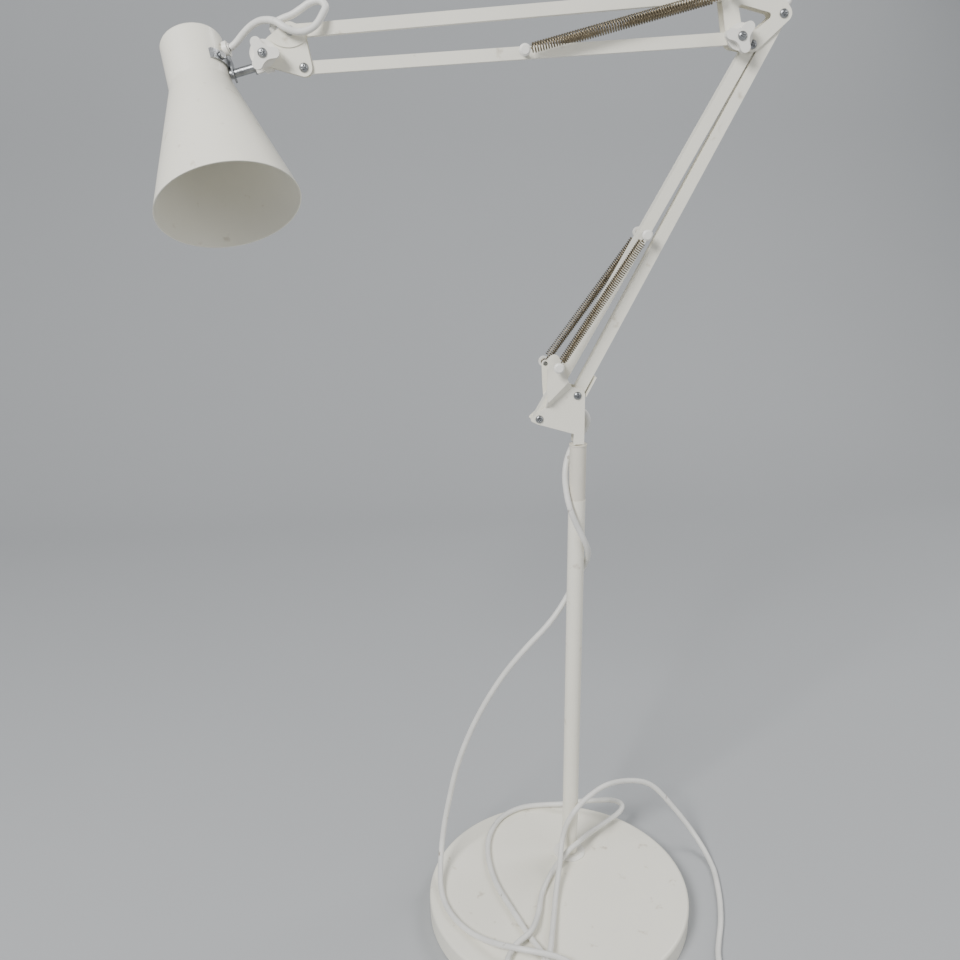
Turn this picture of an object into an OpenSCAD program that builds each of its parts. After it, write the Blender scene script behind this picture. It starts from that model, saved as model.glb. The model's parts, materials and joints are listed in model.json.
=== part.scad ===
// Adjustable arm floor lamp: weighted disc base, offset pole, swivelling two-bar arms
// balanced by extension springs, clamp knobs at elbow and head, and a small metal shade.
// Origin: centre of the underside of the base, on the floor. +Z up, arms in the XZ plane,
// head toward -X. Points such as P1 are [x, z] pairs measured from the pole's axis.

/* [Base] */
// Diameter of the disc base
base_d = 264; // [220:1:320]
// Height of the base
base_h = 22.6; // [18:0.1:32]
// Wall of the pressed base cover
cover_wall = 1.2; // [0.8:0.1:2]
// Edge radius of the base cover
cover_edge_r = 3; // [1.5:0.5:6]
// Thickness of the foam pad under the base
pad_t = 2; // [1:0.5:4]
// Pole axis, to the right of the disc centre
pole_x = 20.5; // [0:1:40]
// Pole axis, behind the disc centre
pole_y = 51; // [0:1:70]

/* [Pole] */
// Outer diameter of the pole
pole_d = 16.2; // [14:0.1:20]
// Wall of the pole tube
pole_wall = 1.2; // [0.8:0.1:2]
// Length of the pole
pole_len = 406; // [300:1:600]
// Diameter of the trim collar at the foot of the pole
collar_d = 33; // [28:0.5:45]
// Height of the trim collar
collar_h = 2.6; // [2:0.1:6]
// Height of the plastic sleeve above the pole
sleeve_len = 54.4; // [40:0.1:80]
// Outer diameter of the plastic sleeve
sleeve_d = 15.6; // [14:0.1:18]
// Diameter of the swivel stem
stem_d = 9.5; // [7:0.1:10.5]

/* [Arms] */
// Side of the square arm tubes
bar_w = 9.6; // [8:0.1:11]
// Wall of the arm tubes
bar_wall = 1; // [0.6:0.1:1.5]
// Pivot to pivot length of the lower arm
lower_arm_len = 352.2; // [280:0.1:440]
// Lean of the lower arm from the horizontal
lower_arm_angle = 62.5; // [58:0.5:75]
// Pivot to pivot length of the upper arm
upper_arm_len = 350.2; // [280:0.1:440]
// Direction of the upper arm, 180 is level toward the head
upper_arm_angle = 183.3; // [170:0.1:190]
// Clear width between a pair of bracket plates
plate_gap = 11.2; // [10:0.1:13]
// Thickness of the bracket plates
plate_t = 1.4; // [1:0.1:2]
// Shank diameter of the pivot screws
screw_d = 4; // [3:0.1:5]
// Head diameter of the pivot screws
screw_head_d = 7.4; // [6:0.1:9]
// Shank diameter of the clamp screws in the knobs
clamp_d = 5; // [4:0.1:6]

/* [Springs] */
// Outer diameter of the lower springs
lower_spring_d = 8; // [6:0.1:10]
// Outer diameter of the upper springs
upper_spring_d = 8.6; // [6:0.1:10]
// Wire of the springs
wire_d = 1.1; // [0.8:0.1:1.6]
// Diameter of the spring posts
post_d = 4; // [3:0.1:5]
// Diameter of the caps on the spring posts
cap_d = 9.4; // [8:0.1:12]

/* [Knobs] */
// Tip to tip diameter of a clamp knob
knob_d = 26; // [22:0.5:34]
// Height of a clamp knob
knob_h = 13; // [9:0.5:18]

/* [Shade] */
// Outer diameter of the neck
neck_d = 50; // [44:0.5:60]
// Length of the neck
neck_len = 44; // [38:0.5:60]
// Diameter of the mouth
mouth_d = 112.2; // [90:0.5:150]
// Length of the whole shade
shade_len = 153.2; // [130:0.5:190]
// Wall of the shade
shade_wall = 0.9; // [0.7:0.1:1.5]
// Slope of the swivel rod
rod_slope = 14.7; // [5:0.1:30]
// Swivel of the shade about the rod
shade_swivel = 34.7; // [0:0.1:60]
// Length of the swivel rod's sleeve
rod_len = 17.5; // [14:0.1:25]
// Diameter of the swivel rod's sleeve
rod_d = 6.8; // [6:0.1:9]

/* [Cord] */
// Diameter of the cord
cord_d = 5.6; // [5:0.1:6.5]
// Mean diameter of the coil of spare cord
coil_d = 62; // [56:1:80]

/* [Hidden] */
run = 0.05;                   // radial clearance of a running fit
gap = 0.4;                    // clearance between pieces of different bodies
eps = 0.01;                   // overshoot of a cut
pole_top = base_h + pole_len;
sleeve_top = pole_top + sleeve_len;
in_y = plate_gap / 2;         // inner face of a bracket plate
out_y = in_y + plate_t;       // outer face of a bracket plate
bore_d = screw_d + 2 * run;
bar_end = 5.2;                // length of a bar past its pivot
function dir(a) = [cos(a), sin(a)];
function dist(a, b) = norm(b - a);
function heading(a, b) = atan2(b[1] - a[1], b[0] - a[0]);
function between(a, b, t) = a + (b - a) * t;
// Pivots of the lower arm: main bar P1 to P3, link bar P2 to P4
P1 = [-2.8, sleeve_top + 47.5];
P2 = P1 + [-34.5, -20.8];
P3 = P1 + lower_arm_len * dir(lower_arm_angle);
P4 = P3 + [-24.3, -22.9];
// Pivots of the upper arm: main bar U1 to H1, link bar U2 to H2
U1 = P3 + [-37.9, -17.9];
U2 = U1 + [-9, 33];
H1 = U1 + upper_arm_len * dir(upper_arm_angle);
H2 = H1 + [-9, 26.6];
K = H1 + [-30, 9.7];          // clamp screw of the head
// Spring posts
S1 = P1 + [-20, 29.4];
S1_rear = P1 + [-26.6, 26.2];      // on the tongues of the lower bracket
S2 = between(P2, P4, 0.52);   // on the lower link bar
S3 = between(U1, H1, 0.5) + [0, 1];  // on the upper main bar
post_y1 = 20;                 // spring centre on the lower bracket
post_y2 = 13;                 // spring centre on the lower link bar
post_y3 = 14;                 // spring centre on the upper arm
slot_play = 1.9;              // play of an open pivot
tongue_y = 13;                // inner face of a bracket tongue
Q3 = P3 + [-18.5, 14];        // spacer of the elbow
Q1 = P1 + [-17, -22.5];       // spacer of the lower bracket
QH = H1 + [-13.5, 11.5];      // spacer of the head bracket
lobe_r = 4.1;                 // tip radius of a knob's lobes
knob_y = out_y + 1;           // inner face of a knob
// Shade, measured from the shade end of the rod
rod_drop = 6.4;               // rod axis below the clamp screw
rod_start = 10.2;             // rod sleeve starts this far from the clamp screw
step_t = 0.9;                 // pressed step of the head plates
saddle_z = 4.3;                // lower edge of the strap's saddle
saddle_h = 9.4;
screw_turn = -28;             // strap screw toward the front of the neck
strap_t = 1.5;
neck_gap = 3.8;               // neck surface from the end of the rod
top_z = 38.2;                 // top of the shade above the rod
neck_x = -(neck_d / 2 + neck_gap);
holder_d = 38;
switch_d = 11;
gland_z = 21.5;
gland_turn = -7;              // gland toward the front of the neck
gland_len = 5.5;
gland_d = 12.4;
// Routes of the cord, chosen by hand
// Cord centrelines. The first three lists are measured from the pole's axis, the last from the base's centre
head_route = [[-286, 9, 820.7], [-281, 8.6, 824.5], [-275, 7, 830.5], [-268, 4, 836], [-261, 0, 839], [-254, -5, 839.4],
    [-247, -10, 837.8], [-239.5, -13.8, 833], [-231, -13.8, 830], [-223, -13.4, 830.8], [-216, -12, 835],
    [-211, -9.5, 842], [-208, -6, 849], [-212, -3, 853], [-220, -1, 852], [-228, 0, 847.5], [-235, 0, 843.5],
    [-242, 0, 841], [-248, 0, 838], [-250.5, 0, 833.8], [-248, 0, 830.8], [-242.8, 0, 831]];
elbow_route = [[119, 0, 858], [127, 0, 860], [137, 0, 866], [148, 0, 870], [159, 0, 868],
    [166, 0, 861], [166, 0, 854], [163, 0, 849]];
cord_top = [[-5.9, 0, 524.6], [-7.4, 0, 521.6], [-5, 0, 518], [0, 0, 516], [6, 1, 513], [9.4, 4, 506], [9.2, 9, 496],
    [4, 13, 487], [-5, 12, 474], [-11.2, 2, 459], [-11.5, -2, 443], [-8, -11, 422], [-2, -12, 407],
    [5, -12, 392], [10, -8, 380], [12, 0, 369], [9, 10, 352], [0, 13, 332], [-12, 9, 312],
    [-26, 3, 296], [-49, 0, 272], [-70, 0, 245]];
cord_low = [[-72, 51, 207], [-87, 51, 174], [-99, 51, 139], [-107, 51, 104], [-115, 49, 62], [-119, 34, 38],
    [-120, 1, 26], [-112, -30, 26], [-96, -54, 26], [-77, -74, 31], [-54, -90, 37], [-31, -99, 38],
    [-12, -103, 33], [0, -112, 29], [-3, -122, 26], [-16, -126, 26], [-25, -117, 26], [-28, -104, 26],
    [-28, -91, 26], [-38, -67, 26], [-51, -31, 26], [-64, 10, 26], [-68, 49, 26], [-63, 82, 26],
    [-46, 111, 26], [-22, 125, 26], [6, 126, 27], [25, 120, 31], [46, 120, 33], [61, 116, 36], [82, 109, 40],
    [90, 100, 40], [85, 92, 38], [64, 80, 33], [48, 67, 34], [36, 53, 38], [30, 43, 42], [24, 38, 42], [15, 35, 36],
    [-2.5, 18, 28],
    [-18, -10, 26], [-26, -39, 28], [-38, -67, 32], [-53, -79, 31], [-62, -91, 28], [-64, -106, 28],
    [-54, -117, 30], [-40, -117, 32], [-29, -108, 32], [-24, -96, 31], [-14, -55, 28], [-4, -12, 29],
    [4.6, 18, 38], [9, 34, 50], [13.6, 38, 66], [22, 36, 86], [41, 54, 90], [65, 72, 90], [98, 89, 80],
    [119, 93, 70], [146, 87, 40], [166, 72, 15], [175, 42, 3], [170, -1, 3], [160, -39, 3], [142, -87, 3],
    [140, -118, 3], [141, -144, 3]];
free_route = concat([for (p = cord_top) p + [pole_x, pole_y, 0]], cord_low);
coil_c = [107, -170];         // middle of the coil on the floor
coil_turns = 4;

module arm() translate([pole_x, pole_y, 0]) children();
// Cylinder along Y at p = [x, z], from y0 to y1
module pin(p, y0, y1, d) translate([p[0], y1, p[1]]) rotate([90, 0, 0]) cylinder(h = y1 - y0, d = d, $fn = 40);
// Flat plate from an [x, z] outline, from y0 to y1
module plate(y0, y1) translate([0, y1, 0]) rotate([90, 0, 0]) linear_extrude(y1 - y0) children();
module dot(p, r) translate(p) circle(r = r, $fn = 40);
module both() {
    children();
    mirror([0, 1, 0]) children();
}
// Frame with X from a toward b, both [x, z]
module toward(a, b) translate([a[0], 0, a[1]]) rotate([0, -heading(a, b), 0]) children();

// Tube along a list of points, rings turned as little as possible from one to the next
function unit(v) = v / norm(v);
function tangent(p, i) = unit(p[min(i + 1, len(p) - 1)] - p[max(i - 1, 0)]);
function across(v, t) = unit(v - (v * t) * t);
function normals(p, i = 0, n = []) = i == len(p) ? n :
    normals(p, i + 1, concat(n, [across(i == 0 ? [0.3, 0.9, 0.1] : n[i - 1], tangent(p, i))]));
module tube(p, d, sides = 8) {
    n = normals(p);
    rings = [for (i = [0:len(p) - 1]) let (t = tangent(p, i), b = cross(t, n[i]))
        for (k = [0:sides - 1]) p[i] + d / 2 * (cos(360 * k / sides) * n[i] + sin(360 * k / sides) * b)];
    last = (len(p) - 1) * sides;
    walls = [for (i = [0:len(p) - 2]) for (k = [0:sides - 1]) let (m = (k + 1) % sides)
        [(i + 1) * sides + k, (i + 1) * sides + m, i * sides + m, i * sides + k]];
    ends = [[for (k = [0:sides - 1]) k], [for (k = [sides - 1:-1:0]) last + k]];
    polyhedron(points = rings, faces = concat(walls, ends));
}

// ---- Base ----
module base_pad() color("dimgray") difference() {
    cylinder(h = pad_t, d = base_d - 10, $fn = 128);
    translate([pole_x, pole_y, -eps]) cylinder(h = pad_t + 2 * eps, d = 30, $fn = 48);
}
module base_weight() color("gray") difference() {
    union() {
        translate([0, 0, pad_t]) cylinder(h = base_h - cover_edge_r - pad_t, d = base_d - 2 * cover_wall - 1, $fn = 128);
        translate([0, 0, base_h - cover_edge_r - eps])
            cylinder(h = cover_edge_r - cover_wall, d = base_d - 2 * cover_edge_r - 1, $fn = 128);
    }
    translate([pole_x, pole_y, pad_t - eps]) cylinder(h = base_h, d = 10.4, $fn = 48);
    translate([pole_x, pole_y, pad_t - eps]) cylinder(h = 9, d = 24, $fn = 48);
}
module base_cover() color("ivory") difference() {
    rotate_extrude($fn = 160) difference() {
        union() {
            square([base_d / 2 - cover_edge_r, base_h]);
            translate([0, 1]) square([base_d / 2, base_h - cover_edge_r - 1]);
            translate([base_d / 2 - cover_edge_r, base_h - cover_edge_r]) circle(r = cover_edge_r, $fn = 48);
        }
        translate([-eps, -eps]) square([base_d / 2 - cover_wall, base_h - cover_edge_r]);
        translate([-eps, -eps]) square([base_d / 2 - cover_edge_r, base_h - cover_wall]);
        translate([base_d / 2 - cover_edge_r, base_h - cover_edge_r])
            circle(r = cover_edge_r - cover_wall, $fn = 48);
    }
    translate([pole_x, pole_y, 0]) cylinder(h = base_h + 1, d = 10.4, $fn = 48);
}
module pole_bolt() color("silver") arm() union() {
    translate([0, 0, pad_t + 0.5]) cylinder(h = base_h + 25 - pad_t, d = 9.9, $fn = 48);
    translate([0, 0, pad_t + 0.2]) cylinder(h = 6.5, d = 17, $fn = 6);
}
module pole_washer() color("silver") arm() difference() {
    translate([0, 0, pad_t + 6.8]) cylinder(h = 2.1, d = 22, $fn = 48);
    translate([0, 0, pad_t]) cylinder(h = 12, d = 10.2, $fn = 48);
}
module pole_collar() color("whitesmoke") arm() difference() {
    union() {
        translate([0, 0, base_h]) cylinder(h = collar_h / 2, d = collar_d, $fn = 64);
        translate([0, 0, base_h + collar_h / 2])
            cylinder(h = collar_h / 2, d1 = collar_d, d2 = collar_d - 3 * collar_h, $fn = 64);
    }
    translate([0, 0, base_h - 1]) cylinder(h = collar_h + 2, d = pole_d + 2 * run, $fn = 64);
}
module pole_plug() color("silver") arm() difference() {
    translate([0, 0, base_h]) cylinder(h = 30, d = pole_d - 2 * pole_wall, $fn = 64);
    translate([0, 0, base_h - 1]) cylinder(h = 40, d = 10, $fn = 48);
}
module pole() color("ivory") arm() difference() {
    translate([0, 0, base_h]) cylinder(h = pole_len, d = pole_d, $fn = 64);
    translate([0, 0, base_h - 1]) cylinder(h = pole_len + 2, d = pole_d - 2 * pole_wall, $fn = 64);
}
module pole_sleeve() color("beige") arm() difference() {
    union() {
        translate([0, 0, pole_top]) cylinder(h = sleeve_len, d = sleeve_d, $fn = 64);
        translate([0, 0, pole_top - 40]) cylinder(h = 40 + eps, d = pole_d - 2 * pole_wall, $fn = 64);
        translate([0, 0, sleeve_top - 1.2]) cylinder(h = 1.2, d = sleeve_d + 1, $fn = 64);
    }
    translate([0, 0, pole_top - 41]) cylinder(h = sleeve_len + 50, d = stem_d + 2 * run, $fn = 48);
}

// ---- Swivelling bracket ----
module swivel_stem() color("ivory") arm() union() {
    translate([0, 0, pole_top - 25]) cylinder(h = sleeve_len + 32, d = stem_d, $fn = 48);
    translate([-4.6, -in_y, sleeve_top + 3]) cube([9.2, plate_gap, 22]);
}
module bracket_lower_outline() difference() {
    hull() {
        dot(P1, 6.9);
        dot(P1 + [-7, 7], 1.5);
        dot(P2, 5);
        dot(P2 + [-6.4, -0.8], 1.3);
        dot([-3, sleeve_top + 13], 2);
        dot([2.2, sleeve_top + 17], 2);
    }
    for (p = [P1, P2]) dot(p, screw_d / 2 + run);
}
// Bracket plate with its spring post at p; reach is the tongue's length past the post
module bracket_plate(p, reach, tip_r) union() {
    plate(-out_y, -in_y) union() {
        bracket_lower_outline();
        translate([-5.4, sleeve_top + 1.5]) square([9.6, 18]);
    }
    hull() {
        plate(-out_y, -in_y) toward_fold(0);
        plate(-tongue_y - plate_t, -tongue_y) toward_fold(8);
    }
    plate(-tongue_y - plate_t, -tongue_y) difference() {
        hull() {
            toward_fold(8);
            dot(p + reach, tip_r);
            dot(S1 + [-6.7, -22], 2.5);
            dot(S1 + [7, -11], 2);
        }
        dot(p, post_d / 2 + run);
    }
}
// Fold line of the tongue, moved up the plate by s
module toward_fold(s) {
    a = P1 + [-6.4, 8.4] + s * [-0.55, 0.8];
    b = P2 + [6.4, 11] + s * [0.1, 0.95];
    hull() {
        dot(a, 1);
        dot(b, 1);
    }
}
module bracket_front_plate() color("ivory") arm() bracket_plate(S1, [-3, 5], 5.2);
module bracket_rear_plate() color("ivory") arm() mirror([0, 1, 0]) bracket_plate(S1_rear, [0.4, -0.6], 3.8);
module bracket_stop() color("ivory") arm() toward(P1, P3)
    translate([2, -in_y, -bar_w / 2 - 3.4]) cube([20, plate_gap, 1.5]);
module bracket_spacer() color("silver") arm() pin(Q1, -in_y, in_y, 7);
// Pan head with a cross recess, outer face at y = -y0 - 2.2
module screw_head(p, y0) difference() {
    pin(p, -y0 - 2.2, -y0, screw_head_d);
    for (a = [0, 90]) translate([p[0], -y0 - 2.2, p[1]]) rotate([0, a + 20, 0]) cube([4.2, 1.8, 1], center = true);
}
module stub_screw(p, y0 = out_y) union() {
    pin(p, -y0 - eps, -bar_w / 2 + bar_wall + 0.2, screw_d);
    screw_head(p, y0);
}
module bracket_screws() color("silver") arm() both() for (p = [P1, P2]) stub_screw(p);
module bracket_posts() color("silver") arm() {
    pin(S1, -post_y1 - 4.5, -tongue_y + 0.5, post_d);
    mirror([0, 1, 0]) pin(S1_rear, -post_y1 - 4.5, -tongue_y + 0.5, post_d);
}
module cap(p, y0) difference() {
    union() {
        pin(p, -y0 - 2, -y0, cap_d);
        translate([p[0], -y0 - 2, p[1]]) rotate([90, 0, 0]) cylinder(h = 1.2, d1 = cap_d, d2 = cap_d - 3, $fn = 40);
    }
    pin(p, -y0 - 1.5, -y0 + 1, post_d);
}
module bracket_post_caps() color("white") arm() {
    cap(S1, post_y1 + 3);
    mirror([0, 1, 0]) cap(S1_rear, post_y1 + 3);
}

// ---- Lower arm ----
// Square tube from a to b, open at both ends
module bar(a, b, front_end = bar_end, back_end = bar_end) toward(a, b)
    translate([-front_end, -bar_w / 2, -bar_w / 2]) difference() {
        cube([dist(a, b) + front_end + back_end, bar_w, bar_w]);
        translate([-1, bar_wall, bar_wall])
            cube([dist(a, b) + front_end + back_end + 2, bar_w - 2 * bar_wall, bar_w - 2 * bar_wall]);
    }
module bore(p, d = bore_d) pin(p, -20, 20, d);
// Slot along the bar for an open pivot at p
module slot(p, a, b) toward(a, b) translate([dist(a, p) - slot_play, 0, 0]) {
    for (s = [0, 2 * slot_play]) translate([s, 20, 0]) rotate([90, 0, 0])
        cylinder(h = 40, r = screw_d / 2 + slot_play, $fn = 40);
    translate([0, -20, -screw_d / 2 - slot_play]) cube([2 * slot_play, 40, screw_d + 2 * slot_play]);
}
module lower_main_bar() color("ivory") arm() difference() {
    bar(P1, P3);
    for (p = [P1, P3]) bore(p);
}
module lower_cord_grommet() color("white") arm() toward(P1, P3) difference() {
    translate([-bar_end - 0.8, 0, 0]) union() {
        translate([0, -bar_w / 2, -bar_w / 2]) cube([0.8, bar_w, bar_w]);
        rotate([0, 90, 0]) cylinder(h = 2.6, d = bar_w - 2 * bar_wall, $fn = 40);
    }
    translate([-bar_end - 1, 0, 0]) rotate([0, 90, 0]) cylinder(h = 10, d = cord_d, $fn = 40);
}
module lower_link_bar() color("ivory") arm() difference() {
    bar(P2, P4, back_end = 4.6);
    bore(P2);
    slot(P4, P2, P4);
    pin(S2, -20, 20, post_d);
}
module link_post() color("silver") arm() pin(S2, -post_y2 - 4.5, post_y2 + 4.5, post_d);
module link_post_caps() color("white") arm() both() cap(S2, post_y2 + 3);
// Extension spring between posts at a and b, [x, y, z] each: coil envelope and two hooks
module spring(a, b, d) {
    v = b - a;
    hook = post_d / 2 + wire_d / 2 + 0.15;
    reach = hook + 3;
    translate(a) rotate([0, acos(v[2] / norm(v)), atan2(v[1], v[0])])
        translate([0, 0, reach]) cylinder(h = norm(v) - 2 * reach, d = d, $fn = 32);
    for (p = [a, b]) translate(p) rotate([90, 0, 0]) rotate_extrude($fn = 40)
        translate([hook, 0]) circle(d = wire_d, $fn = 16);
    for (e = [[a, 1], [b, -1]]) translate(e[0] + e[1] * hook * unit(v))
        rotate([0, acos(e[1] * v[2] / norm(v)), atan2(e[1] * v[1], e[1] * v[0])]) cylinder(h = 3.3, d = wire_d, $fn = 16);
}
function at(p, y) = [p[0], y, p[1]];
module lower_springs() color("tan") arm() {
    spring(at(S1, -post_y1), at(S2, -post_y2), lower_spring_d);
    mirror([0, 1, 0]) spring(at(S1_rear, -post_y1), at(S2, -post_y2), lower_spring_d);
}

// ---- Elbow ----
module elbow_plate() plate(-out_y, -in_y) difference() {
    hull() {
        dot(P3, 6.8);
        dot(P4, 6);
        dot(U1, 8.5);
        dot(U2, 6);
        dot(P3 + [-14, 21], 5);
    }
    for (p = [P3, P4]) dot(p, screw_d / 2 + run);
    dot(U1, clamp_d / 2 + run);
    dot(U2, post_d / 2 + run);
    hull() {
        dot(U1 + [2.6, 22], 2.5);
        dot(P3 + [-13, -1.5], 2.5);
        dot(P3 + [-23, -9.5], 2.5);
        dot(U1 + [5.4, 11], 2.5);
    }
}
module elbow_front_plate() color("ivory") arm() elbow_plate();
module elbow_rear_plate() color("ivory") arm() mirror([0, 1, 0]) elbow_plate();
module elbow_spacer() color("silver") arm() pin(P3 + [-9, 12], -in_y, in_y, 5);
module elbow_screws() color("silver") arm() both() for (p = [P3, P4]) stub_screw(p);
module elbow_anchor_pins() color("silver") arm() both()
    union() {
        pin(U2, -post_y3 - 4.5, -bar_w / 2 + bar_wall + 0.2, post_d);
        pin(U2, -post_y3 - 6.5, -post_y3 - 4, cap_d - 2);
    }
module clamp_screw(p) union() {
    pin(p, -knob_y - knob_h - eps, out_y + 1.2, clamp_d);
    screw_head(p, knob_y + knob_h);
    pin(p, out_y, out_y + 4, 9);
}
module elbow_clamp_screw() color("silver") arm() clamp_screw(U1);
// Three-lobed clamp knob on a screw at p: round base with a lobed face
module knob_face() union() {
    difference() {
        circle(r = knob_d * 0.35, $fn = 64);
        for (a = [60:120:300]) rotate(a) translate([knob_d * 0.6, 0]) circle(r = knob_d * 0.36, $fn = 96);
    }
    for (a = [0:120:240]) rotate(a) translate([knob_d / 2 - lobe_r, 0]) circle(r = lobe_r, $fn = 40);
}
module knob(p, turn) translate([p[0], -knob_y, p[1]]) rotate([90, 0, 0]) difference() {
    union() {
        cylinder(h = knob_h * 0.6, d1 = knob_d * 0.7, d2 = knob_d * 0.8, $fn = 64);
        translate([0, 0, knob_h * 0.45]) linear_extrude(knob_h * 0.55) rotate(turn) knob_face();
    }
    translate([0, 0, -1]) cylinder(h = knob_h + 2, d = clamp_d + 2 * run, $fn = 40);
}
module elbow_knob() color("white") arm() knob(U1, 51);

// ---- Upper arm ----
module upper_main_bar() color("ivory") arm() difference() {
    bar(U1, H1, front_end = 5, back_end = bar_end);
    bore(U1, clamp_d + 2 * run);
    bore(H1);
    pin(S3, -20, 20, post_d);
}
module upper_post() color("silver") arm() pin(S3, -post_y3 - 4.5, post_y3 + 4.5, post_d);
module upper_post_caps() color("white") arm() both() cap(S3, post_y3 + 3);
module upper_link_bar() color("ivory") arm() difference() {
    bar(U2, H2);
    bore(U2, post_d + 2 * run);
    slot(H2, U2, H2);
}
module upper_springs() color("tan") arm() both() spring(at(S3, -post_y3), at(U2, -post_y3), upper_spring_d);
module elbow_cord() color("gainsboro") arm() tube(elbow_route, cord_d);

// ---- Head bracket ----
module head_outline() hull() {
    dot(H1, 6.6);
    dot(K, 8);
    dot(H2, 6.6);
    dot(H2 + [7, 0], 4);
}
module head_plate() difference() {
    union() {
        plate(-out_y, -in_y) head_outline();
        plate(-out_y - step_t, -out_y + eps) intersection() {
            head_outline();
            dot(H2 + [-2, 9], 21);
        }
    }
    for (p = [H1, H2]) bore(p, screw_d + 2 * run);
    bore(K, clamp_d + 2 * run);
}
module head_front_plate() color("ivory") arm() head_plate();
module head_rear_plate() color("ivory") arm() mirror([0, 1, 0]) head_plate();
module head_spacer() color("silver") arm() pin(QH, -in_y, in_y, 5);
module head_screws() color("silver") arm() both() {
    stub_screw(H1);
    stub_screw(H2, out_y + step_t);
}
module head_clamp_screw() color("silver") arm() clamp_screw(K);
module head_knob() color("white") arm() knob(K, 1);

// ---- Shade and its swivel ----
module at_knuckle() arm() translate([K[0], 0, K[1]]) rotate([0, -rod_slope, 0]) children();
module at_shade() at_knuckle() translate([-rod_start - rod_len, 0, -rod_drop]) rotate([-shade_swivel, 0, 0]) children();
module knuckle() color("white") at_knuckle() difference() {
    union() {
        rotate([90, 0, 0]) cylinder(h = plate_gap - 2 * gap, r = 7, center = true, $fn = 48);
        translate([-rod_start + 0.1, -in_y + gap, -rod_drop - 5]) cube([rod_start - 0.1, plate_gap - 2 * gap, 8]);
        translate([-3, -in_y + gap, -rod_drop - 6.5]) cube([6, plate_gap - 2 * gap, 8]);
    }
    rotate([90, 0, 0]) cylinder(h = 20, r = clamp_d / 2 + run, center = true, $fn = 40);
    translate([-rod_start, 0, -rod_drop]) rotate([0, 90, 0]) cylinder(h = 12, d = 4.1, center = true, $fn = 32);
}
module swivel_rod() color("silver") at_knuckle() translate([0, 0, -rod_drop]) union() {
    translate([-rod_start - rod_len - strap_t - 0.4, 0, 0]) rotate([0, 90, 0]) cylinder(h = rod_len + 5.5, d = 4, $fn = 32);
    translate([-rod_start - rod_len - strap_t - 1.9, 0, 0]) rotate([0, 90, 0]) cylinder(h = 1.5, d = 7.5, $fn = 32);
}
module rod_sleeve() color("lightgray") at_knuckle() translate([-rod_start - rod_len, 0, -rod_drop]) rotate([0, 90, 0]) difference() {
    union() {
        cylinder(h = rod_len, d = rod_d, $fn = 40);
        translate([0, 0, rod_len - 1.2]) cylinder(h = 1.2, d = rod_d + 4, $fn = 40);
    }
    translate([0, 0, -1]) cylinder(h = rod_len + 4, d = 4.1, $fn = 32);
}
// Strap: a flat leg on the rod and a saddle that hugs the neck
module shade_strap() color("silver") difference() {
    union() {
        at_shade() translate([-strap_t, -5, -5]) cube([strap_t - 0.1, 10, saddle_z + saddle_h + 3]);
        at_shade() translate([-neck_gap + 0.1, -5, saddle_z]) cube([neck_gap - 0.2, 10, saddle_h]);
        intersection() {
            neck_axis() translate([0, 0, saddle_z - top_z]) difference() {
                cylinder(h = saddle_h, r = neck_d / 2 + strap_t + 0.2, $fn = 120);
                translate([0, 0, -1]) cylinder(h = saddle_h + 2, r = neck_d / 2 + 0.05, $fn = 120);
            }
            at_shade() translate([neck_x + 12, -19, saddle_z - 1]) cube([40, 24, saddle_h + 2]);
        }
    }
    at_shade() rotate([0, 90, 0]) cylinder(h = 8, d = 4 + 2 * run, center = true, $fn = 32);
    neck_axis() rotate([0, 0, screw_turn]) translate([neck_d / 2, 0, saddle_z + saddle_h / 2 - top_z])
        rotate([0, 90, 0]) cylinder(h = 8, d = 3, center = true, $fn = 32);
    neck_axis() translate([0, 0, saddle_z - top_z - 1]) cylinder(h = saddle_h + 2, r = neck_d / 2 + 0.05, $fn = 120);
}
module neck_axis() at_shade() translate([neck_x, 0, top_z]) children();
module shade() color("ivory") neck_axis() difference() {
    rotate_extrude($fn = 120) polygon([[0, 0], [neck_d / 2 - 2, 0], [neck_d / 2 - 0.6, -0.6], [neck_d / 2, -2],
        [neck_d / 2, -neck_len], [mouth_d / 2, -shade_len], [mouth_d / 2 - shade_wall, -shade_len],
        [neck_d / 2 - shade_wall, -neck_len - 0.3], [neck_d / 2 - shade_wall, -2.3],
        [neck_d / 2 - 2, -shade_wall], [0, -shade_wall]]);
    translate([0, 0, -5]) cylinder(h = 10, d = switch_d, $fn = 40);
    rotate([0, 0, screw_turn]) translate([neck_d / 2, 0, saddle_z + saddle_h / 2 - top_z]) rotate([0, 90, 0])
        cylinder(h = 6, d = 3, center = true, $fn = 32);
    rotate([0, 0, gland_turn]) translate([neck_d / 2, 0, gland_z - top_z]) rotate([0, 90, 0])
        cylinder(h = 6, d = 8, center = true, $fn = 32);
}
module strap_screw() color("silver") neck_axis() rotate([0, 0, screw_turn])
    translate([neck_d / 2, 0, saddle_z + saddle_h / 2 - top_z]) rotate([0, 90, 0]) union() {
        translate([0, 0, -4]) cylinder(h = 6, d = 2.9, $fn = 32);
        translate([0, 0, strap_t + 0.3]) cylinder(h = 2, d = 6.6, $fn = 32);
    }
module cord_gland() color("white") neck_axis() rotate([0, 0, gland_turn]) translate([neck_d / 2, 0, gland_z - top_z])
    rotate([0, 90, 0]) difference() {
        union() {
            translate([0, 0, -3]) cylinder(h = 3 + gland_len, d = 7.9, $fn = 40);
            translate([0, 0, 0.9]) cylinder(h = 3.4, d = gland_d, $fn = 48);
        }
        translate([0, 0, -4]) cylinder(h = 20, d = cord_d, $fn = 40);
    }
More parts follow.
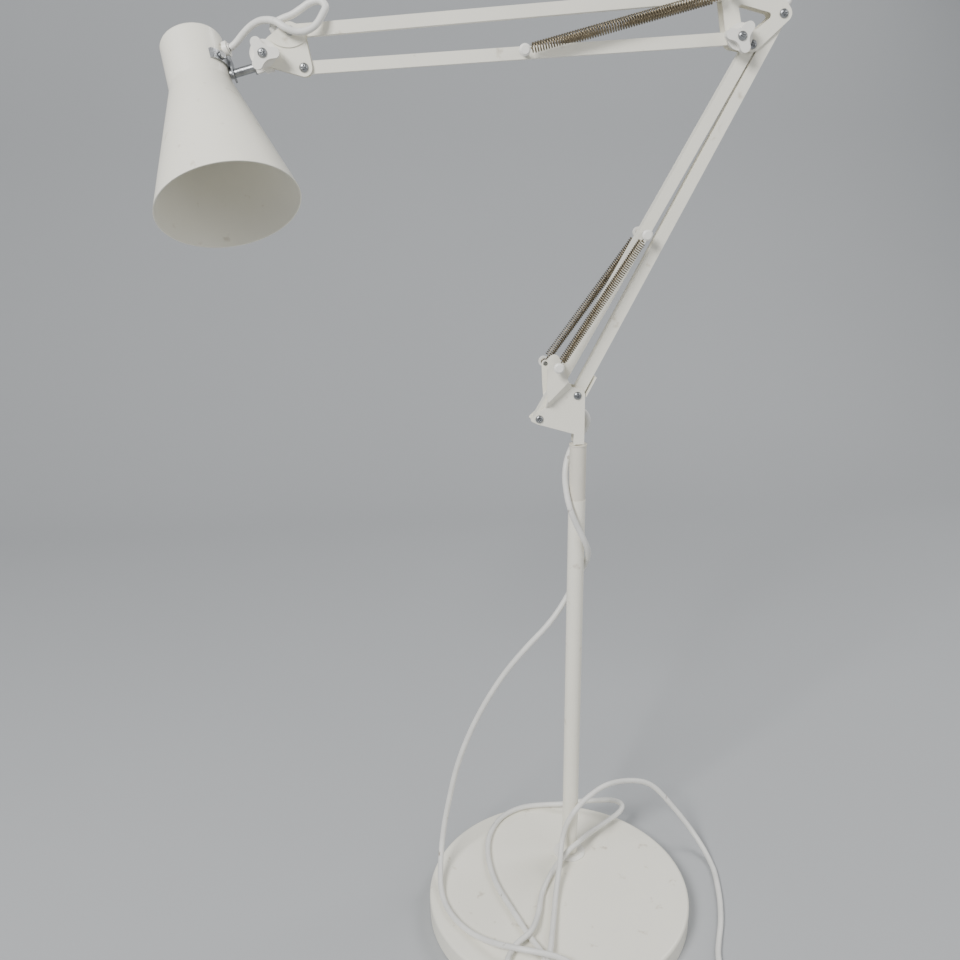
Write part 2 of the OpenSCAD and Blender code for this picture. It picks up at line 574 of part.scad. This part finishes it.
module lampholder() color("whitesmoke") neck_axis() difference() {
    union() {
        translate([0, 0, -neck_len + 2]) cylinder(h = neck_len - 20, d = holder_d, $fn = 64);
        translate([0, 0, -20]) cylinder(h = 20 - shade_wall, d = 12, $fn = 40);
    }
    translate([0, 0, -neck_len - 1]) cylinder(h = 24, d = 27.2, $fn = 48);
    translate([0, 0, -12]) cylinder(h = 20, d = 9, $fn = 32);
}
module bulb() color("white") neck_axis() union() {
    translate([0, 0, -neck_len - 4]) cylinder(h = 25, d = 26, $fn = 48);
    translate([0, 0, -neck_len - 12]) cylinder(h = 8 + eps, d1 = 36, d2 = 26, $fn = 48);
    translate([0, 0, -neck_len - 25]) sphere(r = 22.5, $fn = 64);
}
module switch_body() color("white") neck_axis() difference() {
    union() {
        translate([0, 0, 0.1]) cylinder(h = 2, d = switch_d + 3, $fn = 40);
        translate([0, 0, -8]) cylinder(h = 8.1, d = 8.9, $fn = 40);
    }
    translate([0, 0, -6]) cylinder(h = 10, d = 7, $fn = 40);
}
module switch_button() color("white") neck_axis() translate([0, 0, -2]) cylinder(h = 8, d = 6.8, $fn = 40);
module head_cord() color("gainsboro") arm() tube(head_route, cord_d);

// ---- Free cord and plug ----
module free_cord() color("gainsboro") tube(free_route, cord_d);
module cord_coil() color("gainsboro") translate([coil_c[0], coil_c[1], 0]) rotate_extrude($fn = 64)
    translate([coil_d / 2 - cord_d, 0.1]) square([2 * cord_d, coil_turns / 2 * cord_d]);
module at_plug() translate([coil_c[0] - 60, coil_c[1] - 18, 0]) children();
module plug_body() color("white") at_plug() translate([-18, -13, 0.2]) cube([36, 26, 13.5]);
module plug_pins() color("silver") at_plug() for (y = [-9.3, 9.3])
    translate([-18, y, 7]) rotate([0, -90, 0]) cylinder(h = 19, d = 4, $fn = 32);

base_pad();
base_weight();
base_cover();
pole_bolt();
pole_washer();
pole_collar();
pole_plug();
pole();
pole_sleeve();
swivel_stem();
bracket_front_plate();
bracket_rear_plate();
bracket_stop();
bracket_spacer();
bracket_screws();
bracket_posts();
bracket_post_caps();
lower_main_bar();
lower_cord_grommet();
lower_link_bar();
link_post();
link_post_caps();
lower_springs();
elbow_front_plate();
elbow_rear_plate();
elbow_spacer();
elbow_screws();
elbow_anchor_pins();
elbow_clamp_screw();
elbow_knob();
upper_main_bar();
upper_post();
upper_post_caps();
upper_link_bar();
upper_springs();
elbow_cord();
head_front_plate();
head_rear_plate();
head_spacer();
head_screws();
head_clamp_screw();
head_knob();
knuckle();
swivel_rod();
rod_sleeve();
shade_strap();
shade();
strap_screw();
cord_gland();
lampholder();
bulb();
switch_body();
switch_button();
head_cord();
free_cord();
cord_coil();
plug_body();
plug_pins();
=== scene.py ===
"""Looks of the adjustable arm floor lamp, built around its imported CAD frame. Units are metres."""
import json
import math

import bpy
import numpy as np
from mathutils import Matrix, Vector


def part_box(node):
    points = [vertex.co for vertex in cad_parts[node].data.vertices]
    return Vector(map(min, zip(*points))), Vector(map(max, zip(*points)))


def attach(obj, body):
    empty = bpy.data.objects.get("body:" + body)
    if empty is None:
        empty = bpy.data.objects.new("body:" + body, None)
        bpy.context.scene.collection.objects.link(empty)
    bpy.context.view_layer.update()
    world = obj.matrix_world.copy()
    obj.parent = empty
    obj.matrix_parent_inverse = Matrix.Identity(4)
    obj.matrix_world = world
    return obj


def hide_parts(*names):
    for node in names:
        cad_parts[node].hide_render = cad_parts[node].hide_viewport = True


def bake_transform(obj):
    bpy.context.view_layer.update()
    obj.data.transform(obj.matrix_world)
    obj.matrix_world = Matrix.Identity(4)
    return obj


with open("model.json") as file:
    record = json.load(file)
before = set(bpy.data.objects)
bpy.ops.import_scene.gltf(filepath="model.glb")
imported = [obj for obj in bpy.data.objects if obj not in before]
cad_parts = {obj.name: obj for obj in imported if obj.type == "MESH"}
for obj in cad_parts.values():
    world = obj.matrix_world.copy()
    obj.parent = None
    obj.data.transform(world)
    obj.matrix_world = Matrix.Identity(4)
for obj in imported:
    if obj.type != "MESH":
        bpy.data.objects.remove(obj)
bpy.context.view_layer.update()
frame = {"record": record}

# Sizes of the frame in mm, as [x, z] from the pole's axis where they are points
POLE = Vector((20.5, 51.0, 0.0))
CORD_D = 5.6
P1, P2, P3, P4 = (-2.8, 530.5), (-37.3, 509.7), (159.83, 842.91), (135.53, 820.01)
U1, U2, H1, H2 = (121.93, 825.01), (112.93, 858.01), (-227.69, 804.85), (-236.69, 831.45)
K = (-257.69, 814.55)
S1, S1_REAR, S2, S3 = (-22.8, 559.9), (-29.4, 556.7), (52.57, 671.06), (-52.88, 815.93)
POST_Y1, POST_Y2, POST_Y3 = 20, 13, 14
LOWER_SPRING_D, LOWER_PITCH = 8.0, 1.9
UPPER_SPRING_D, UPPER_PITCH = 8.6, 2.2
PLATE_OUT, STEP_T, KNOB_FACE = 7.0, 0.9, 21.0
SHANK_IN = 4.0
# Screws and nut in metres
HEAD_R, HEAD_H, SHANK_R, CLAMP_R, CLAMP_LEN = 0.0037, 0.0022, 0.002, 0.0025, 0.0292
NUT_ACROSS, NUT_H = 0.008, 0.004


# ---- Camera ----
def make_camera():
    yaw, pitch, roll = -0.0799, 0.3312, 0.0133
    fwd = Vector((-math.sin(yaw) * math.cos(pitch), math.cos(yaw) * math.cos(pitch), -math.sin(pitch)))
    side = Vector((math.cos(yaw), math.sin(yaw), 0))
    down = fwd.cross(side)
    right = side * math.cos(roll) + down * math.sin(roll)
    up = side * math.sin(roll) - down * math.cos(roll)
    data = bpy.data.cameras.new("camera")
    data.sensor_width = 36.0
    data.lens = 36.018
    data.clip_start = 0.01
    cam = bpy.data.objects.new("camera", data)
    m = Matrix((right, up, -fwd)).transposed().to_4x4()
    m.translation = Vector((-0.13844, -0.79033, 0.74158))
    cam.matrix_world = m
    bpy.context.scene.collection.objects.link(cam)
    bpy.context.scene.camera = cam


make_camera()


# ---- Mesh helpers ----
def new_mesh(name, verts, faces, smooth=True):
    me = bpy.data.meshes.new(name)
    me.from_pydata([tuple(v) for v in verts], [], faces)
    me.validate()
    me.polygons.foreach_set("use_smooth", [smooth] * len(me.polygons))
    ob = bpy.data.objects.new(name, me)
    bpy.context.scene.collection.objects.link(ob)
    return ob


def smooth_path(points, step):
    """Catmull-Rom curve through the points, resampled at an even step."""
    p = np.array(points, float)
    p = np.vstack([2 * p[0] - p[1], p, 2 * p[-1] - p[-2]])
    out = []
    for i in range(1, len(p) - 2):
        a, b, c, d = p[i - 1:i + 3]
        ta = np.linalg.norm(b - a) ** 0.5
        tb = ta + np.linalg.norm(c - b) ** 0.5
        tc = tb + np.linalg.norm(d - c) ** 0.5
        for t in np.linspace(ta, tb, 12, endpoint=False):
            a1 = (ta - t) / ta * a + t / ta * b
            a2 = (tb - t) / (tb - ta) * b + (t - ta) / (tb - ta) * c
            a3 = (tc - t) / (tc - tb) * c + (t - tb) / (tc - tb) * d
            b1 = (tb - t) / tb * a1 + t / tb * a2
            b2 = (tc - t) / (tc - ta) * a2 + (t - ta) / (tc - ta) * a3
            out.append((tb - t) / (tb - ta) * b1 + (t - ta) / (tb - ta) * b2)
    out = np.array(out + [p[-2]])
    s = np.r_[0, np.cumsum(np.linalg.norm(np.diff(out, axis=0), axis=1))]
    even = np.linspace(0, s[-1], max(2, int(s[-1] / step) + 1))
    return np.stack([np.interp(even, s, out[:, k]) for k in range(3)], 1)


def tube(name, path, radius, sides=16):
    """Round tube along a path in mm."""
    path = np.array(path) / 1000
    tan = np.gradient(path, axis=0)
    tan /= np.linalg.norm(tan, axis=1)[:, None]
    n = np.cross(tan[0], (0.31, 0.9, 0.12))
    verts = []
    for p, t in zip(path, tan):
        n = n - n.dot(t) * t
        n /= np.linalg.norm(n)
        b = np.cross(t, n)
        for k in range(sides):
            a = 2 * math.pi * k / sides
            verts.append(p + radius / 1000 * (math.cos(a) * n + math.sin(a) * b))
    faces = []
    for i in range(len(path) - 1):
        for k in range(sides):
            m = (k + 1) % sides
            faces.append((i * sides + k, i * sides + m, (i + 1) * sides + m, (i + 1) * sides + k))
    faces.append(tuple(range(sides - 1, -1, -1)))
    faces.append(tuple((len(path) - 1) * sides + k for k in range(sides)))
    ob = new_mesh(name, verts, faces)
    for cap in ob.data.polygons[-2:]:
        cap.use_smooth = False
    for e in ob.data.edges:
        first, last = e.vertices
        if first // sides == last // sides and first // sides in (0, len(path) - 1):
            e.use_edge_sharp = True
    return ob


# ---- Materials ----
def material(name, color, rough, metallic=0.0, vary=0.06, bump=0.0, scale=40, coat=0.0,
             rough_vary=0.08, grime=None, bump_scale=900):
    """Principled surface with uneven tone, uneven roughness, a fine bump and optional dirt."""
    mat = bpy.data.materials.new(name)
    mat.use_nodes = True
    nt = mat.node_tree
    bsdf = nt.nodes["Principled BSDF"]
    bsdf.inputs["Metallic"].default_value = metallic
    bsdf.inputs["Coat Weight"].default_value = coat
    tex = nt.nodes.new("ShaderNodeTexCoord")

    def noise(size, detail=4.0):
        n = nt.nodes.new("ShaderNodeTexNoise")
        n.inputs["Scale"].default_value = size
        n.inputs["Detail"].default_value = detail
        nt.links.new(tex.outputs["Object"], n.inputs["Vector"])
        return n.outputs["Fac"]

    def ramp(value, stops):
        r = nt.nodes.new("ShaderNodeValToRGB")
        for i, (pos, col) in enumerate(stops):
            e = r.color_ramp.elements[i] if i < 2 else r.color_ramp.elements.new(pos)
            e.position = pos
            e.color = (*col, 1)
        nt.links.new(value, r.inputs["Fac"])
        return r.outputs["Color"]

    low = tuple(c * (1 - vary) for c in color)
    out = ramp(noise(scale), [(0.3, low), (0.7, color)])
    if grime:
        mix = nt.nodes.new("ShaderNodeMix")
        mix.data_type = "RGBA"
        mask = ramp(noise(grime[1], 8.0), [(grime[2], (0, 0, 0)), (grime[2] + 0.08, (1, 1, 1))])
        nt.links.new(mask, mix.inputs["Factor"])
        nt.links.new(out, mix.inputs["A"])
        mix.inputs["B"].default_value = (*grime[0], 1)
        out = mix.outputs["Result"]
    nt.links.new(out, bsdf.inputs["Base Color"])
    rr = nt.nodes.new("ShaderNodeMapRange")
    rr.inputs["To Min"].default_value = rough - rough_vary
    rr.inputs["To Max"].default_value = rough + rough_vary
    nt.links.new(noise(scale * 3), rr.inputs["Value"])
    nt.links.new(rr.outputs["Result"], bsdf.inputs["Roughness"])
    if bump:
        b = nt.nodes.new("ShaderNodeBump")
        b.inputs["Strength"].default_value = bump
        b.inputs["Distance"].default_value = 0.0004
        nt.links.new(noise(bump_scale, 2.0), b.inputs["Height"])
        nt.links.new(b.outputs["Normal"], bsdf.inputs["Normal"])
    return mat


MATS = {
    "cream_paint": material("cream_paint", (0.90, 0.87, 0.76), 0.36, bump=0.10, scale=14, coat=0.15,
                            vary=0.04, grime=((0.66, 0.61, 0.50), 70, 0.66)),
    "zinc": material("zinc", (0.42, 0.43, 0.44), 0.36, metallic=1.0, vary=0.4, scale=260, bump=0.25,
                     rough_vary=0.12),
    # Spring steel tinted brown-tan: the tint is a painted reflection of the cream bars beside the springs
    "spring_steel": material("spring_steel", (0.30, 0.25, 0.17), 0.36, metallic=0.95, vary=0.35, scale=180,
                             bump=0.15),
    "white_plastic": material("white_plastic", (0.88, 0.86, 0.80), 0.40, bump=0.12, scale=60,
                              grime=((0.50, 0.46, 0.38), 160, 0.72)),
    "beige_plastic": material("beige_plastic", (0.76, 0.72, 0.62), 0.40, bump=0.12, scale=50, vary=0.08),
    "foam": material("foam", (0.05, 0.05, 0.05), 0.9, bump=0.6, scale=200, vary=0.3),
    "iron": material("iron", (0.12, 0.12, 0.12), 0.7, bump=0.5, scale=90, vary=0.3),
    "opal_glass": material("opal_glass", (0.86, 0.86, 0.83), 0.25, scale=30, vary=0.03, coat=0.3),
    "cord_pvc": material("cord_pvc", (0.80, 0.79, 0.75), 0.42, bump=0.10, scale=50, vary=0.12,
                         grime=((0.36, 0.33, 0.28), 120, 0.68)),
}


def dress(ob, slot):
    ob.data.materials.clear()
    ob.data.materials.append(MATS[slot])


slots = {s["node"]: s["material_slot"] for s in frame["record"]["subparts"]}
for node, slot in slots.items():
    ob = bpy.data.objects.get(node)
    for s in ob.material_slots:
        s.material = MATS[slot]

# ---- Cords ----
# Points in mm. CORD_LOW is measured from the base's centre, and the other three from the pole's axis
HEAD_ROUTE = [(-286, 9, 820.7), (-281, 8.6, 824.5), (-275, 7, 830.5), (-268, 4, 836), (-261, 0, 839),
              (-254, -5, 839.4), (-247, -10, 837.8), (-239.5, -13.8, 833), (-231, -13.8, 830),
              (-223, -13.4, 830.8), (-216, -12, 835), (-211, -9.5, 842), (-208, -6, 849),
              (-212, -3, 853), (-220, -1, 852), (-228, 0, 847.5), (-235, 0, 843.5), (-242, 0, 841),
              (-248, 0, 838), (-250.5, 0, 833.8), (-248, 0, 830.8), (-242.8, 0, 831)]
ELBOW_ROUTE = [(119, 0, 858), (127, 0, 860), (137, 0, 866), (148, 0, 870), (159, 0, 868), (166, 0, 861),
               (166, 0, 854), (163, 0, 849)]
CORD_TOP = [(-5.9, 0, 524.6), (-7.4, 0, 521.6), (-5, 0, 518), (0, 0, 516), (6, 1, 513), (9.4, 4, 506),
            (9.2, 9, 496), (4, 13, 487), (-5, 12, 474), (-11.2, 2, 459), (-11.5, -2, 443),
            (-8, -11, 422), (-2, -12, 407), (5, -12, 392), (10, -8, 380), (12, 0, 369), (9, 10, 352),
            (0, 13, 332), (-12, 9, 312), (-26, 3, 296), (-49, 0, 272), (-70, 0, 245)]
CORD_LOW = [(-72, 51, 207), (-87, 51, 174), (-99, 51, 139), (-107, 51, 104), (-115, 49, 62),
            (-119, 34, 38), (-120, 1, 26), (-112, -30, 26), (-96, -54, 26), (-77, -74, 31),
            (-54, -90, 37), (-31, -99, 38), (-12, -103, 33), (0, -112, 29), (-3, -122, 26),
            (-16, -126, 26), (-25, -117, 26), (-28, -104, 26), (-28, -91, 26), (-38, -67, 26),
            (-51, -31, 26), (-64, 10, 26), (-68, 49, 26), (-63, 82, 26), (-46, 111, 26), (-22, 125, 26),
            (6, 126, 27), (25, 120, 31), (46, 120, 33), (61, 116, 36), (82, 109, 40), (90, 100, 40),
            (85, 92, 38), (64, 80, 33), (48, 67, 34), (36, 53, 38), (30, 43, 42), (24, 38, 42),
            (15, 35, 36), (-2.5, 18, 28), (-18, -10, 26), (-26, -39, 28), (-38, -67, 32), (-53, -79, 31),
            (-62, -91, 28), (-64, -106, 28), (-54, -117, 30), (-40, -117, 32), (-29, -108, 32),
            (-24, -96, 31), (-14, -55, 28), (-4, -12, 29), (4.6, 18, 38), (9, 34, 50), (13.6, 38, 66),
            (22, 36, 86), (41, 54, 90), (65, 72, 90), (98, 89, 80), (119, 93, 70), (146, 87, 40),
            (166, 72, 15), (175, 42, 3), (170, -1, 3), (160, -39, 3), (142, -87, 3), (140, -118, 3),
            (141, -144, 3)]
COIL = (107.0, -170.0)
COIL_R = 31.0


def from_pole(points):
    return [tuple(Vector(p) + POLE) for p in points]


def step_at(turn, start):
    return min(max((turn - start) / 0.3, 0), 1)


def coil_points():
    """Four turns: outer low, inner low, inner high, outer high, then off to the plug."""
    out = []
    for i in range(1, 69):
        turn = i / 16
        r = COIL_R + CORD_D / 2 * (1 - 2 * step_at(turn, 0.7) + 2 * step_at(turn, 2.7))
        z = 3 + step_at(turn, 1.7) * CORD_D
        a = -2 * math.pi * turn
        out.append((COIL[0] + r * math.cos(a), COIL[1] + r * math.sin(a), z))
    return out + [(90, -202, 8.4), (78, -194, 7.6), (66, -188, 7.2)]


def held_cord(name, points, node, body, other=None):
    piece = tube(name, points, CORD_D / 2, 14)
    dress(piece, "cord_pvc")
    if other:
        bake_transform(piece)
    else:
        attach(piece, body)
    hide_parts(node)
    return piece


free_path = smooth_path(from_pole(CORD_TOP) + CORD_LOW + coil_points(), 4.0)
for _ in range(2):
    free_path[1:-1] = (free_path[:-2] + 2 * free_path[1:-1] + free_path[2:]) / 4
free_path[:, 2] = np.maximum(free_path[:, 2], CORD_D / 2 + 0.1)
free = tube("mains_cord", free_path, CORD_D / 2, 14)
dress(free, "cord_pvc")
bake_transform(free)
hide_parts("free_cord", "cord_coil")

# The head cord crosses two joints, so it is in three pieces
head_path = smooth_path(from_pole(HEAD_ROUTE), 1.5)
cut_a = int(np.argmin(np.linalg.norm(head_path - np.array(Vector((-268, 4, 836)) + POLE), axis=1)))
cut_b = int(np.argmin(np.linalg.norm(head_path - np.array(Vector((-247, -10, 837.8)) + POLE), axis=1)))


held_cord("head_cord_shade", head_path[:cut_a + 1], "head_cord", "shade", other="knuckle")
held_cord("head_cord_middle", head_path[cut_a:cut_b + 1], "head_cord", "knuckle", other="head_bracket")
held_cord("head_cord_loop", head_path[cut_b:], "head_cord", "head_bracket")
held_cord("elbow_cord_loop", smooth_path(from_pole(ELBOW_ROUTE), 2.0), "elbow_cord", "elbow")

# ---- Springs ----
POST_R, WIRE_R = 2.0, 0.55


def spring(name, a, b, y_a, y_b, d, pitch, node):
    """Open-coil extension spring with an eye round the post at each end."""
    a, b = (np.array((p[0], y, p[1])) + np.array(POLE) for p, y in ((a, y_a), (b, y_b)))
    u = (b - a) / np.linalg.norm(b - a)
    v = np.cross(u, (0, 1, 0))
    v /= np.linalg.norm(v)
    w = np.cross(u, v)
    eye = POST_R + WIRE_R + 0.15
    reach = eye + 3.0
    flat = np.array((u[0], 0, u[2])) / math.hypot(u[0], u[2])
    turn_v = np.cross(flat, (0, 1, 0))

    def ring(centre, sign):
        return [centre + eye * (math.cos(t) * flat * sign + math.sin(t) * turn_v)
                for t in np.linspace(math.radians(330), 0, 24)]

    length = np.linalg.norm(b - a) - 2 * reach
    turns = length / pitch
    coil = []
    for i in range(int(turns * 14) + 1):
        t = i / 14
        grow = min(1, t / 0.6, (turns - t) / 0.6)
        r = max((d / 2 - WIRE_R) * grow, 0.0)
        ang = 2 * math.pi * t
        coil.append(a + u * (reach + t * pitch) + r * (math.cos(ang) * v + math.sin(ang) * w))
    path = ring(a, 1) + coil + ring(b, -1)[::-1]
    ob = tube(name, path, WIRE_R, 7)
    # The springs' brown-tan metal tint is a painted reflection of the cream bars
    dress(ob, "spring_steel")
    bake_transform(ob)
    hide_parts(node)


for side, tag in ((-1, "front"), (1, "rear")):
    spring(f"lower_spring_{tag}", S1 if side < 0 else S1_REAR, S2, side * POST_Y1, side * POST_Y2,
           LOWER_SPRING_D, LOWER_PITCH, "lower_springs")
    spring(f"upper_spring_{tag}", S3, U2, side * POST_Y3, side * POST_Y3,
           UPPER_SPRING_D, UPPER_PITCH, "upper_springs")


# ---- Screws ----
def unit_frame(out):
    out = Vector(out).normalized()
    u = out.cross(Vector((0.2, 0.1, 1))).normalized()
    return u, out.cross(u), out


def pan_head(name, base, out, r, height, shank_r, shank, body, turn=0.4):
    """Domed screw head with a cross recess, on a plain shank. base is the head's seat, in metres."""
    u, v, w = unit_frame(out)
    base = Vector(base)
    n, rings = 64, 18
    cross_half, cross_wide, deep = r * 0.56, r * 0.16, height * 0.5

    def lift(x, y):
        rad = math.hypot(x, y) / r
        z = height * (1 - 0.55 * rad ** 2 - 0.25 * rad ** 8)
        ca, sa = math.cos(turn), math.sin(turn)
        a, b = abs(ca * x + sa * y), abs(-sa * x + ca * y)
        inside = max(min((cross_wide - a) / (r * 0.07), (cross_half - b) / (r * 0.07)),
                     min((cross_wide - b) / (r * 0.07), (cross_half - a) / (r * 0.07)))
        return z - deep * min(max(inside, 0), 1)

    verts = [base + w * lift(0, 0)]
    for i in range(1, rings + 1):
        for k in range(n):
            t = 2 * math.pi * k / n
            x, y = r * i / rings * math.cos(t), r * i / rings * math.sin(t)
            verts.append(base + u * x + v * y + w * lift(x, y))
    skirt = [(r, 0.0), (shank_r, 0.0), (shank_r, -shank)]
    for rad, z in skirt:
        for k in range(n):
            t = 2 * math.pi * k / n
            verts.append(base + u * rad * math.cos(t) + v * rad * math.sin(t) + w * z)
    faces = [(0, 1 + k, 1 + (k + 1) % n) for k in range(n)]
    for i in range(rings + len(skirt) - 1):
        for k in range(n):
            a, b = 1 + i * n + k, 1 + i * n + (k + 1) % n
            faces.append((a, a + n, b + n, b))
    last = 1 + (rings + len(skirt) - 1) * n
    faces.append(tuple(last + k for k in range(n - 1, -1, -1)))
    ob = new_mesh(name, verts, faces)
    dress(ob, "zinc")
    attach(ob, body)
    return ob


PIVOTS = {"bracket_screws": ("bracket", [(P1, PLATE_OUT), (P2, PLATE_OUT)]),
          "elbow_screws": ("elbow", [(P3, PLATE_OUT), (P4, PLATE_OUT)]),
          "head_screws": ("head_bracket", [(H1, PLATE_OUT), (H2, PLATE_OUT + STEP_T)])}
for node, (body, seats) in PIVOTS.items():
    for i, ((x, z), y) in enumerate(seats):
        for side, tag in ((-1, "front"), (1, "rear")):
            base = (Vector((x, side * y, z)) + POLE) / 1000
            ob = pan_head(f"{node[:-1]}_{i + 1}_{tag}", base, (0, side, 0), HEAD_R, HEAD_H, SHANK_R,
                          (y - SHANK_IN) / 1000, body, turn=0.35 + 0.5 * i + 0.2 * side)
            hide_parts(node)


def hex_nut(name, place, out, across, height, body):
    """Hexagon nut with chamfered corners. place is the seat's middle, in metres."""
    u, v, w = unit_frame(out)
    n = 48
    verts = []
    for z, chamfer in ((0.0, 0.0), (height * 0.82, 0.0), (height, 0.12)):
        for k in range(n):
            t = 2 * math.pi * k / n
            corner = across / 2 / math.cos((t + math.pi / 6) % (math.pi / 3) - math.pi / 6)
            rad = min(corner, across / 2 * (1.15 - chamfer))
            verts.append(Vector(place) + u * rad * math.cos(t) + v * rad * math.sin(t) + w * z)
    faces = [tuple(range(n - 1, -1, -1)), tuple(2 * n + k for k in range(n))]
    for i in range(2):
        for k in range(n):
            m = (k + 1) % n
            faces.append((i * n + k, i * n + m, (i + 1) * n + m, (i + 1) * n + k))
    ob = new_mesh(name, verts, faces, smooth=False)
    dress(ob, "zinc")
    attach(ob, body)
    return ob


for tag, (x, z), body in (("elbow", U1, "elbow"), ("head", K, "head_bracket")):
    seat = (Vector((x, -KNOB_FACE, z)) + POLE) / 1000
    screw = pan_head(f"{tag}_clamp_screw_piece", seat, (0, -1, 0), HEAD_R, HEAD_H, CLAMP_R, CLAMP_LEN, body)
    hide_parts(f"{tag}_clamp_screw")
    back = (Vector((x, PLATE_OUT, z)) + POLE) / 1000
    nut = hex_nut(f"{tag}_clamp_nut", back, (0, 1, 0), NUT_ACROSS, NUT_H, body)
    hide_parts(f"{tag}_clamp_screw")


# ---- Plug ----
def make_plug():
    lo, hi = (Vector(p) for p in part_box("plug_body"))
    size, mid = hi - lo, (hi + lo) / 2
    verts, faces, n, rows = [], [], 28, 9
    for i in range(rows):
        f = i / (rows - 1)
        taper = 1 - 0.45 * max(0, (f - 0.45) / 0.55) ** 1.6
        edge = 0.9 if i in (0, rows - 1) else 1.0
        for k in range(n):
            t = 2 * math.pi * k / n
            c, s = math.cos(t), math.sin(t)
            px = math.copysign(abs(c) ** 0.45, c) * size.y / 2 * taper * edge
            pz = math.copysign(abs(s) ** 0.45, s) * size.z / 2 * edge * (0.55 + 0.45 * taper)
            verts.append((lo.x + f * size.x, mid.y + px, mid.z + pz))
    for i in range(rows - 1):
        for k in range(n):
            m = (k + 1) % n
            faces.append((i * n + k, (i + 1) * n + k, (i + 1) * n + m, i * n + m))
    faces += [tuple(range(n)), tuple((rows - 1) * n + k for k in range(n - 1, -1, -1))]
    plug = new_mesh("plug_shell", verts, faces)
    dress(plug, "white_plastic")
    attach(plug, "stand")
    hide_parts("plug_body")
    return plug


plug = make_plug()


# ---- Studio ----
def area_light(name, place, aim, size, power):
    data = bpy.data.lights.new(name, "AREA")
    data.size, data.energy = size, power
    ob = bpy.data.objects.new(name, data)
    ob.location = place
    ob.rotation_euler = (Vector(aim) - Vector(place)).to_track_quat("-Z", "Y").to_euler()
    bpy.context.scene.collection.objects.link(ob)


BEND_Y, BEND_R, BEND_STEPS, WALL_TOP, HALF_WIDTH = 1.1, 0.8, 24, 5.0, 6.0
profile = [(-HALF_WIDTH, 0.0)]
for k in range(BEND_STEPS + 1):
    sweep = math.pi / 2 * k / BEND_STEPS
    profile.append((BEND_Y + BEND_R * math.sin(sweep), BEND_R * (1 - math.cos(sweep))))
profile.append((BEND_Y + BEND_R, WALL_TOP))
floor = new_mesh("studio_floor", [(x, y, z) for y, z in profile for x in (-HALF_WIDTH, HALF_WIDTH)],
                 [(2 * k, 2 * k + 1, 2 * k + 3, 2 * k + 2) for k in range(len(profile) - 1)])
floor.data.materials.append(material("studio_floor", (0.42, 0.43, 0.44), 0.85, vary=0.02, scale=2))
area_light("key", (-1.4, -1.6, 2.2), (0, 0, 0.5), 0.9, 90)
area_light("fill", (1.8, -1.2, 1.4), (0, 0, 0.5), 1.6, 14)
area_light("back", (1.3, 0.8, 1.9), (0, 0, 0.6), 1.0, 20)
world = bpy.data.worlds.new("studio")
world.use_nodes = True
world.node_tree.nodes["Background"].inputs["Color"].default_value = (0.62, 0.64, 0.66, 1)
world.node_tree.nodes["Background"].inputs["Strength"].default_value = 0.5
bpy.context.scene.world = world
